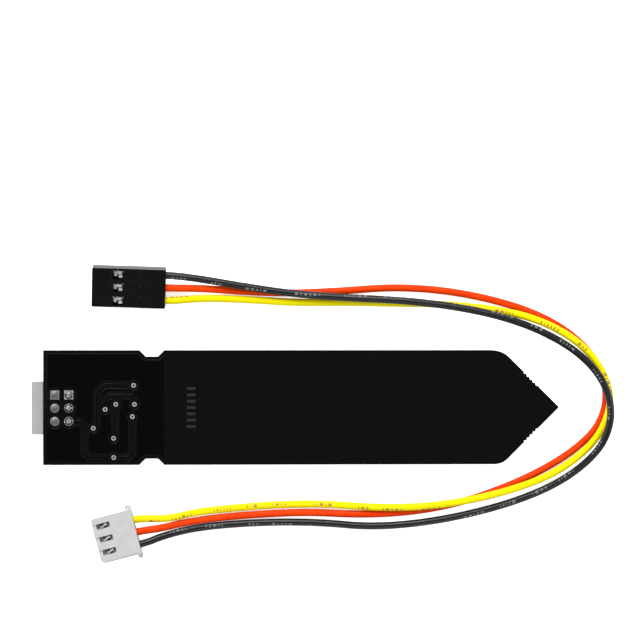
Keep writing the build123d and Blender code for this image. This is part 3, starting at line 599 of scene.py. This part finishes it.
@dataclass
class Studio:
    """The camera straight above, the pale table and the soft lights.

    Attributes:
        aim: The point of the table under the camera.
        lens: The camera's focal length in its own millimetres.
        sensor: The width of the camera's sensor in the same millimetres.
        width: How wide a stretch of the probe's plane the view takes in.
        plane: The height at which it is that wide.
        table_size: The side of the table.
        table_drop: How far the table lies under the lowest point of the probe.
        table_grey: How pale the table is.
        fibre_grey: How pale its fibres are beside that.
        fibres: How many fibres there are to the metre.
        table_glow: How brightly the table glows to the camera.
        glow_on_probe: How brightly it glows to everything else.
        sky: The colour of the light from all round.
        lamps: Each soft box's name, place, side and power in watts.
    """

    aim: tuple[float, float] = (4.75 * MM, 16.56 * MM)
    lens: float = 250.0
    sensor: float = 36.0
    width: float = 121.6 * MM
    plane: float = 3.0 * MM
    table_size: float = 6.0
    table_drop: float = 0.01 * MM
    table_grey: float = 0.9
    fibre_grey: float = 0.985
    fibres: float = 900.0
    table_glow: float = 0.6
    glow_on_probe: float = 0.12
    sky: Colour = (0.16, 0.16, 0.16)
    lamps: tuple[tuple[str, tuple[float, float, float], float, float], ...] = (
        ("key_light", (-0.12, 0.56, 0.58), 0.45, 10.4),
        ("front_light", (0.1, -0.62, 0.5), 0.5, 2.9),
        ("left_light", (-0.66, 0.02, 0.46), 0.45, 3.6),
        ("right_light", (0.66, 0.06, 0.46), 0.45, 3.6),
    )

    def place_camera(self) -> None:
        """Sets the camera over the lead and the probe, looking straight down."""
        data = bpy.data.cameras.new("camera")
        data.lens = self.lens
        data.sensor_width = self.sensor
        height = self.plane + self.width * self.lens / data.sensor_width
        data.clip_start, data.clip_end = 0.1 * height, 10 * height
        camera = add_object("camera", data)
        camera.location = (*self.aim, height)
        bpy.context.scene.camera = camera

    def lay_table(self) -> None:
        """Lays the plain pale table just under the probe."""
        half = self.table_size / 2
        square = ((-half, -half), (half, -half), (half, half), (-half, half))
        corners = [Vector((x, y, -self.table_drop)) for x, y in square]
        table = add_mesh("table", corners, [(0, 1, 2, 3)], smooth=False)
        paper = bpy.data.materials.new("table_paper")
        paper.use_nodes = True
        tree = Tree(paper.node_tree)
        shader, output = tree.add("BsdfPrincipled"), tree.add("OutputMaterial")
        tree.join(shader.outputs["BSDF"], output.inputs["Surface"])
        fibres = tree.noise(tree.add("TexCoord").outputs["Object"], self.fibres, 3.0)
        pale, fibre = (self.table_grey,) * 3, (self.fibre_grey * self.table_grey,) * 3
        tree.join(tree.blend(fibres, fibre, pale), shader.inputs["Base Color"])
        shader.inputs["Roughness"].default_value = 0.9
        shader.inputs["Specular IOR Level"].default_value = 0.1
        shader.inputs["Emission Color"].default_value = (1.0, 1.0, 1.0, 1.0)
        seen = tree.add("LightPath").outputs["Is Camera Ray"]
        glow = tree.maths("MULTIPLY", seen, self.table_glow - self.glow_on_probe)
        tree.join(tree.maths("ADD", glow, self.glow_on_probe), shader.inputs["Emission Strength"])
        table.data.materials.append(paper)

    def hang_lamps(self) -> None:
        """Hangs the soft boxes round the table, with a dim sky above that looks white to the camera."""
        for name, place, size, power in self.lamps:
            data = bpy.data.lights.new(name, "AREA")
            data.shape, data.size, data.energy = "SQUARE", size, power
            lamp = add_object(name, data)
            lamp.location = place
            lamp.rotation_euler = (-Vector(place)).to_track_quat("-Z", "Y").to_euler()
        world = bpy.data.worlds.new("sky")
        bpy.context.scene.world = world
        world.use_nodes = True
        tree = Tree(world.node_tree)
        dim, plain, mixed = tree.add("Background"), tree.add("Background"), tree.add("MixShader")
        dim.inputs["Color"].default_value = (*self.sky, 1.0)
        plain.inputs["Color"].default_value = (1.0, 1.0, 1.0, 1.0)
        tree.join(tree.add("LightPath").outputs["Is Camera Ray"], mixed.inputs["Fac"])
        tree.join(dim.outputs[0], mixed.inputs[1])
        tree.join(plain.outputs[0], mixed.inputs[2])
        tree.join(mixed.outputs[0], tree.add("OutputWorld").inputs["Surface"])
        bpy.context.scene.view_settings.view_transform = "Standard"

    def build(self) -> None:
        """Builds the whole studio."""
        self.place_camera()
        self.lay_table()
        self.hang_lamps()
        log.info("studio: camera, table and %d lamps", len(self.lamps))


@dataclass
class InsulatedWire:
    """One insulated wire of the lead, and the marks printed along it.

    Attributes:
        wire: Which of the three it is.
        fittings: The CAD nodes of the contacts and housings on it.
        diameter: Its outer diameter.
        print_finish: The finish of its marks, if it has any.
        print_turn: How far round from the top the marks sit on average, in degrees.
        print_twist: How far the marks wander round it, in degrees either way.
        print_wave: How far along it one such wandering takes.
        seed: What its marks are shuffled by.
        bare_ends: How far in from its start and its end the marks keep.
        group_marks: The fewest and the most marks in a group.
        group_gap: The least and the greatest distance between groups.
        mark_gap: The distance between the marks of a group.
        mark_widths: How far along the wire a mark may run.
        mark_shares: How tall a mark may be, as a share of mark_height.
        mark_height: How far a tall mark runs round the wire.
        mark_rise: How far the ink stands off the insulation.
        row_length: The longest flat step that a mark follows the wire in.
        segments_across: How many flat steps a mark is bent round the wire in.
    """

    wire: Wire
    fittings: tuple[str, ...]
    diameter: float = 1.4 * MM
    print_finish: str | None = None
    print_turn: float = 20.0
    print_twist: float = 55.0
    print_wave: float = 95 * MM
    seed: int = 1
    bare_ends: tuple[float, float] = (4 * MM, 7 * MM)
    group_marks: tuple[int, int] = (3, 6)
    group_gap: tuple[float, float] = (1.8 * MM, 5.2 * MM)
    mark_gap: float = 0.42 * MM
    mark_widths: tuple[float, ...] = (0.18 * MM, 0.3 * MM, 0.62 * MM)
    mark_shares: tuple[float, ...] = (0.7, 1.0)
    mark_height: float = 0.62 * MM
    mark_rise: float = 0.006 * MM
    row_length: float = 0.25 * MM
    segments_across: int = 6

    @property
    def name(self) -> str:
        """The CAD node that the wire stands for."""
        return "wire_" + self.wire.value

    def lay(self) -> bpy.types.Object:
        """Lays the wire as a smooth curve along its route."""
        curve = bpy.data.curves.new(self.name + "_insulation", "CURVE")
        curve.dimensions = "3D"
        spline = curve.splines.new("NURBS")
        route = WIRE_ROUTES[self.wire]
        spline.points.add(len(route) - 1)
        for place, point in zip(spline.points, route):
            place.co = (*point, 1.0)
        spline.order_u = 3
        spline.use_endpoint_u = True
        spline.resolution_u = 14
        curve.bevel_depth = self.diameter / 2
        curve.bevel_resolution = 7
        curve.use_fill_caps = True
        piece = add_object(self.name + "_insulation", curve)
        FINISHES[self.wire.value + "_pvc"].dress(piece)
        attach(piece, "lead")
        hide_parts(self.name)
        return piece

    def centreline(self, piece: bpy.types.Object) -> list[Vector]:
        """Reads the points that the laid wire's middle goes through, from the socket housing on."""
        bare = piece.data.copy()
        bare.bevel_depth = 0.0
        middle = add_object("centreline", bare)
        evaluated = middle.evaluated_get(bpy.context.evaluated_depsgraph_get())
        mesh = bpy.data.meshes.new_from_object(evaluated)
        points = [vertex.co.copy() for vertex in mesh.vertices]
        bpy.data.objects.remove(middle)
        bpy.data.curves.remove(bare)
        bpy.data.meshes.remove(mesh)
        return points

    def marks(self, length: float) -> list[tuple[float, float, float]]:
        """Works out plain bars in loose groups, in place of printed words, along a length of wire.

        Returns:
            Each mark's start and end along the wire, and its height.
        """
        shuffle = random.Random(self.seed)
        found: list[tuple[float, float, float]] = []
        at, bare_end = self.bare_ends
        while at < length - bare_end:
            for _ in range(shuffle.randint(*self.group_marks)):
                wide = shuffle.choice(self.mark_widths)
                found.append((at, at + wide, self.mark_height * shuffle.choice(self.mark_shares)))
                at += wide + self.mark_gap
            at += shuffle.uniform(*self.group_gap)
        return found

    def row(self, line: list[Vector], reach: list[float], at: float, height: float) -> list[Vector]:
        """Finds a row of points across a mark, bent round the wire.

        Args:
            line: The points that the wire's middle goes through.
            reach: How far along the wire each of those is.
            at: How far along the wire the row is.
            height: How far round the wire the mark runs.
        """
        step = bisect_left(reach, at) - 1
        share = (at - reach[step]) / (reach[step + 1] - reach[step])
        middle = line[step].lerp(line[step + 1], share)
        along = (line[step + 1] - line[step]).normalized()
        up = (Vector((0, 0, 1)) - along * along.z).normalized()
        side = along.cross(up)
        wander = math.sin(math.tau * at / self.print_wave + self.seed)
        turn = math.radians(self.print_turn + self.print_twist * wander)
        radius = self.diameter / 2 + self.mark_rise
        found = []
        for across in range(self.segments_across + 1):
            angle = turn + (across / self.segments_across - 0.5) * height / radius
            found.append(middle + radius * (math.cos(angle) * up + math.sin(angle) * side))
        return found

    def stamp(self, piece: bpy.types.Object) -> bpy.types.Object:
        """Stamps the marks on the laid wire, as one piece of thin patches that hug the insulation."""
        line = self.centreline(piece)
        reach = [0.0]
        for before, after in zip(line, line[1:]):
            reach.append(reach[-1] + (after - before).length)
        points: list[Vector] = []
        faces: list[Corners] = []
        for start, end, height in self.marks(reach[-1]):
            rows = max(2, 1 + math.ceil((end - start) / self.row_length))
            base = len(points)
            for number in range(rows):
                points += self.row(line, reach, start + (end - start) * number / (rows - 1), height)
            for number in range(rows - 1):
                for across in range(self.segments_across):
                    corner = base + number * (self.segments_across + 1) + across
                    below = corner + self.segments_across + 1
                    faces.append((corner, below, below + 1, corner + 1))
        printed = add_mesh(self.name + "_print", points, faces)
        FINISHES[self.print_finish].dress(printed)
        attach(printed, "lead")
        return printed

    def build(self) -> None:
        piece = self.lay()
        on_it = [frame["nodes"][node] for node in self.fittings]
        if self.print_finish is not None:
            on_it.append(self.stamp(piece))


@dataclass
class Lead:
    """The loose lead: three wires, the white plug and the black socket housing.

    Attributes:
        order: The wires from way 1 of the socket housing on; the plug has them the other way round.
        inks: The finish of each printed wire's marks.
        print_step: How much further round from the top each wire's marks sit, in degrees.
        plug_corner: The rounding of the plug's corners.
        socket_corner: The rounding of the socket housing's corners.
        tongue_corner: The rounding of the latch tongues' corners.
    """

    order: tuple[Wire, ...] = (Wire.BLACK, Wire.RED, Wire.YELLOW)
    inks: tuple[tuple[Wire, str], ...] = (
        (Wire.BLACK, "black_wire_print"),
        (Wire.YELLOW, "yellow_wire_print"),
    )
    print_step: float = -15.0
    plug_corner: float = 0.07 * MM
    socket_corner: float = 0.042 * MM
    tongue_corner: float = 0.021 * MM

    def lay_wires(self) -> None:
        """Lays the three wires with their marks."""
        for number, wire in enumerate(self.order, start=1):
            fittings = (
                "socket_housing",
                f"socket_contact_{number}",
                f"latch_tongue_{number}",
                "plug_housing",
                f"plug_contact_{len(self.order) + 1 - number}",
            )
            InsulatedWire(
                wire,
                fittings,
                print_finish=dict(self.inks).get(wire),
                print_turn=self.print_step * number,
                seed=number,
            ).build()

    def build(self) -> None:
        """Builds the wires and dresses both housings and what is in them."""
        self.lay_wires()
        for number in range(1, len(self.order) + 1):
            dress("dull_contact", f"plug_contact_{number}")
            dress("tinned_contact", f"socket_contact_{number}")
            dress("black_nylon", f"latch_tongue_{number}", self.tongue_corner)
        dress("plug_nylon", "plug_housing", self.plug_corner)
        dress("black_nylon", "socket_housing", self.socket_corner)
        log.info("lead: both housings dressed")


def soften(piece: bpy.types.Object, width: float) -> None:
    """Rounds a moulded piece's sharp corners by a small width."""
    weld = piece.modifiers.new("weld", "WELD")
    weld.merge_threshold = WELD_GAP
    bevel = piece.modifiers.new("soft_corners", "BEVEL")
    bevel.width = width
    bevel.segments = 2
    bevel.limit_method = "ANGLE"
    bevel.angle_limit = SHARP_ANGLE
    bevel.use_clamp_overlap = True
    normals = piece.modifiers.new("even_shading", "WEIGHTED_NORMAL")
    normals.keep_sharp = False


def dress(finish: str, node: str, corner: float | None = None) -> None:
    """Puts a finish on a node of the frame.

    Args:
        finish: The finish, by its key in FINISHES.
        node: The node's name.
        corner: The rounding of its corners, if it is a moulded piece.
    """
    FINISHES[finish].dress(frame["nodes"][node])
    if corner is not None:
        soften(frame["nodes"][node], corner)


@dataclass
class MaskShoulder:
    """The sloping band of solder mask draped over the copper's edge, finished lighter as a painted
    highlight.

    Attributes:
        node: The CAD node of that copper.
        outward: Which way the copper's face points.
        inset: How far in from the copper's edge the band starts.
        spread: How far out over the board it runs.
        film: How far the mask stands over the copper.
        copper: How far the copper stands over the board.
        level: How squarely a face looks outward where it counts as the outer face.
        sharpest: The least that a corner of the band is narrowed to before it is mitred.
    """

    node: str
    outward: Vector
    inset: float = 0.05 * MM
    spread: float = 0.08 * MM
    film: float = 0.004 * MM
    copper: float = 0.035 * MM
    level: float = 0.9
    sharpest: float = 0.5

    def edges(self) -> tuple[list[Vector], list[tuple[int, int]]]:
        """Finds the copper's points, and the edges round its outer face with the copper on their left."""
        mesh = frame["nodes"][self.node].data
        points = [vertex.co.copy() for vertex in mesh.vertices]
        known: dict[tuple[float, ...], int] = {}
        rounded = [tuple(round(c, 8) for c in point) for point in points]
        same = [known.setdefault(place, index) for index, place in enumerate(rounded)]
        sides: dict[tuple[int, int], int] = {}
        for face in mesh.polygons:
            if face.normal.dot(self.outward) > self.level:
                ring = [same[index] for index in face.vertices]
                for a, b in zip(ring, ring[1:] + ring[:1]):
                    sides[(a, b)] = 1
        return points, [(a, b) for a, b in sides if (b, a) not in sides]

    def build(self) -> None:
        """Builds the band."""
        points, rim = self.edges()
        away: dict[int, list[Vector]] = {}
        for a, b in rim:
            across = (points[b] - points[a]).cross(self.outward).normalized()
            away.setdefault(a, []).append(across)
            away.setdefault(b, []).append(across)
        profile = (
            (-self.inset, self.film),
            (0.0, 0.2 * self.film),
            (0.45 * self.spread, -0.55 * self.copper),
            (self.spread, -0.97 * self.copper),
        )
        placed: dict[int, int] = {}
        made: list[Vector] = []
        for index, directions in away.items():
            mean = sum(directions, Vector()).normalized()
            reach = 1.0 / max(self.sharpest, mean.dot(directions[0]))
            placed[index] = len(made)
            made += [points[index] + mean * (out * reach) + self.outward * up for out, up in profile]
        faces = []
        for a, b in rim:
            for row in range(len(profile) - 1):
                first, second = placed[a] + row, placed[b] + row
                faces.append((first, first + 1, second + 1, second))
        band = add_mesh(self.node + "_mask_shoulder", made, faces)
        # Painted highlight: the band takes the lighter copy of the mask over copper.
        FINISHES["mask_over_edge_highlight"].dress(band)
        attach(band, "sensor")


@dataclass
class ViaShadeSkins:
    """Dark mask skins that close the via holes on the component face, as painted shade in the holes.

    Attributes:
        outward: Which way the solder face points.
        radius: How far each skin reaches from the middle of its hole.
        sag: How far it dips into the hole.
        lift: How far its rim stands off the ring round the hole.
        apart: The least distance between two vias.
        sides: How many corners its rim has.
    """

    outward: Vector
    radius: float = 0.34 * MM
    sag: float = 0.09 * MM
    lift: float = 0.004 * MM
    apart: float = 1.2 * MM
    sides: int = 28

    def holes(self) -> list[Vector]:
        """Finds the middle of each via on the component face."""
        points = [vertex.co.copy() for vertex in frame["nodes"]["via_barrels"].data.vertices]
        groups: list[list[Vector]] = []
        for point in points:
            near = [group for group in groups if (group[0] - point).cross(self.outward).length < self.apart]
            if near:
                near[0].append(point)
            else:
                groups.append([point])
        found = []
        for group in groups:
            lowest = min(point.dot(self.outward) for point in group)
            rim = [point for point in group if point.dot(self.outward) < lowest + self.lift]
            ends = [(min(values), max(values)) for values in zip(*rim)]
            found.append(Vector([(low + high) / 2 for low, high in ends]))
        return found

    def build(self) -> None:
        """Builds every skin as one piece."""
        across = self.outward.orthogonal().normalized()
        other = self.outward.cross(across)
        profile = ((1.0, -self.lift), (0.72, -self.lift), (0.6, 0.3 * self.sag), (0.3, 0.9 * self.sag))
        points: list[Vector] = []
        faces: list[Corners] = []
        middles = self.holes()
        for middle in middles:
            base = len(points)
            for share, depth in profile:
                for number in range(self.sides):
                    turn = math.tau * number / self.sides
                    spoke = across * math.cos(turn) + other * math.sin(turn)
                    points.append(middle + spoke * (share * self.radius) + self.outward * depth)
            points.append(middle + self.outward * self.sag)
            for number in range(self.sides):
                after = (number + 1) % self.sides
                for ring in range(len(profile) - 1):
                    first = base + ring * self.sides
                    second = first + self.sides
                    faces.append((first + number, first + after, second + after, second + number))
                last = base + (len(profile) - 1) * self.sides
                faces.append((last + number, last + after, len(points) - 1))
        skins = add_mesh("via_shade_skins", points, faces)
        FINISHES["masked_copper"].dress(skins)
        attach(skins, "sensor")
        log.info("board: %d tented vias", len(middles))


@dataclass
class Probe:
    """The circuit board with its copper, solder, header and chips.

    Attributes:
        header_corner: The rounding of the header's corners.
        chip_corner: The rounding of the resistors' and capacitors' corners.
        solder_side: The copper patterns on the face that lies upwards.
        component_side: The copper patterns on the other face.
        pins: How many pins the header has.
        moulded_chips: The chips with a body and leads.
        small_chips: Each kind of small chip, how many there are and its finish.
    """

    header_corner: float = 0.08 * MM
    chip_corner: float = 0.04 * MM
    solder_side: tuple[str, ...] = ("back_ground_copper", "back_traces")
    component_side: tuple[str, ...] = ("front_traces", "sensing_electrode", "guard_electrode")
    pins: int = 3
    moulded_chips: tuple[str, ...] = ("timer_ic", "regulator", "diode")
    small_chips: tuple[tuple[str, int, str], ...] = (
        ("resistor", 4, "resistor_glaze"),
        ("capacitor", 5, "capacitor_ceramic"),
    )

    def face_way(self) -> Vector:
        """Works out which way the solder face points, from the board's own mesh."""
        faces = frame["nodes"]["circuit_board"].data.polygons
        return max((face for face in faces if face.normal.z > 0), key=lambda face: face.area).normal.copy()

    def dress_board(self) -> None:
        """Dresses the board, its copper and its ink."""
        up = self.face_way()
        mask = BoardFinish("black_mask", linear(7, 7, 8), linear(5, 5, 6), (0.18, 0.27), 1.6 * MM,
                           Relief.WEAVE, 0.5 * MM, 0.004 * MM, specular=0.13, face_way=tuple(up))
        mask.dress(frame["nodes"]["circuit_board"])
        for nodes, outward in ((self.solder_side, up), (self.component_side, -up)):
            for node in nodes:
                dress("masked_copper", node)
                MaskShoulder(node, outward).build()
        dress("dark_ink", "lot_mark")
        dress("white_ink", "depth_line")
        log.info("board: mask, copper and ink")

    def dress_metal(self) -> None:
        """Dresses the holes, lands, pins and solder."""
        for node in ("via_barrels", "header_hole_barrels", "component_lands"):
            dress("tinned_copper", node)
        # Painted shade: the spare pads and their solder take darker copies of the tin and the solder.
        dress("shaded_level_pad", "spare_hole_barrels")
        dress("shaded_level_solder", "spare_hole_solder")
        dress("solder", "header_solder_joints")
        # Painted shade: dark mask skins close the vias on the far face, so the holes look dark.
        ViaShadeSkins(self.face_way()).build()
        for number in range(1, self.pins + 1):
            dress("tinned_pin", f"header_pin_{number}")
        log.info("board: pins and solder")

    def dress_parts(self) -> None:
        """Dresses the header and the chips under the board."""
        dress("header_nylon", "header_housing", self.header_corner)
        for kind in self.moulded_chips:
            dress("chip_epoxy", kind + "_body")
            dress("tinned_lead", kind + "_leads")
        for kind, count, finish in self.small_chips:
            dress("tinned_lead", kind + "_ends")
            for number in range(1, count + 1):
                dress(finish, f"{kind}_{number}", self.chip_corner)
        log.info("board: header and chips")

    def build(self) -> None:
        """Builds and dresses the whole probe."""
        self.dress_board()
        self.dress_metal()
        self.dress_parts()


def main() -> None:
    """Builds the studio, then the lead, then the probe."""
    logging.basicConfig(level=logging.INFO, format="%(message)s")
    Studio().build()
    Lead().build()
    Probe().build()


if __name__ == "__main__":
    main()
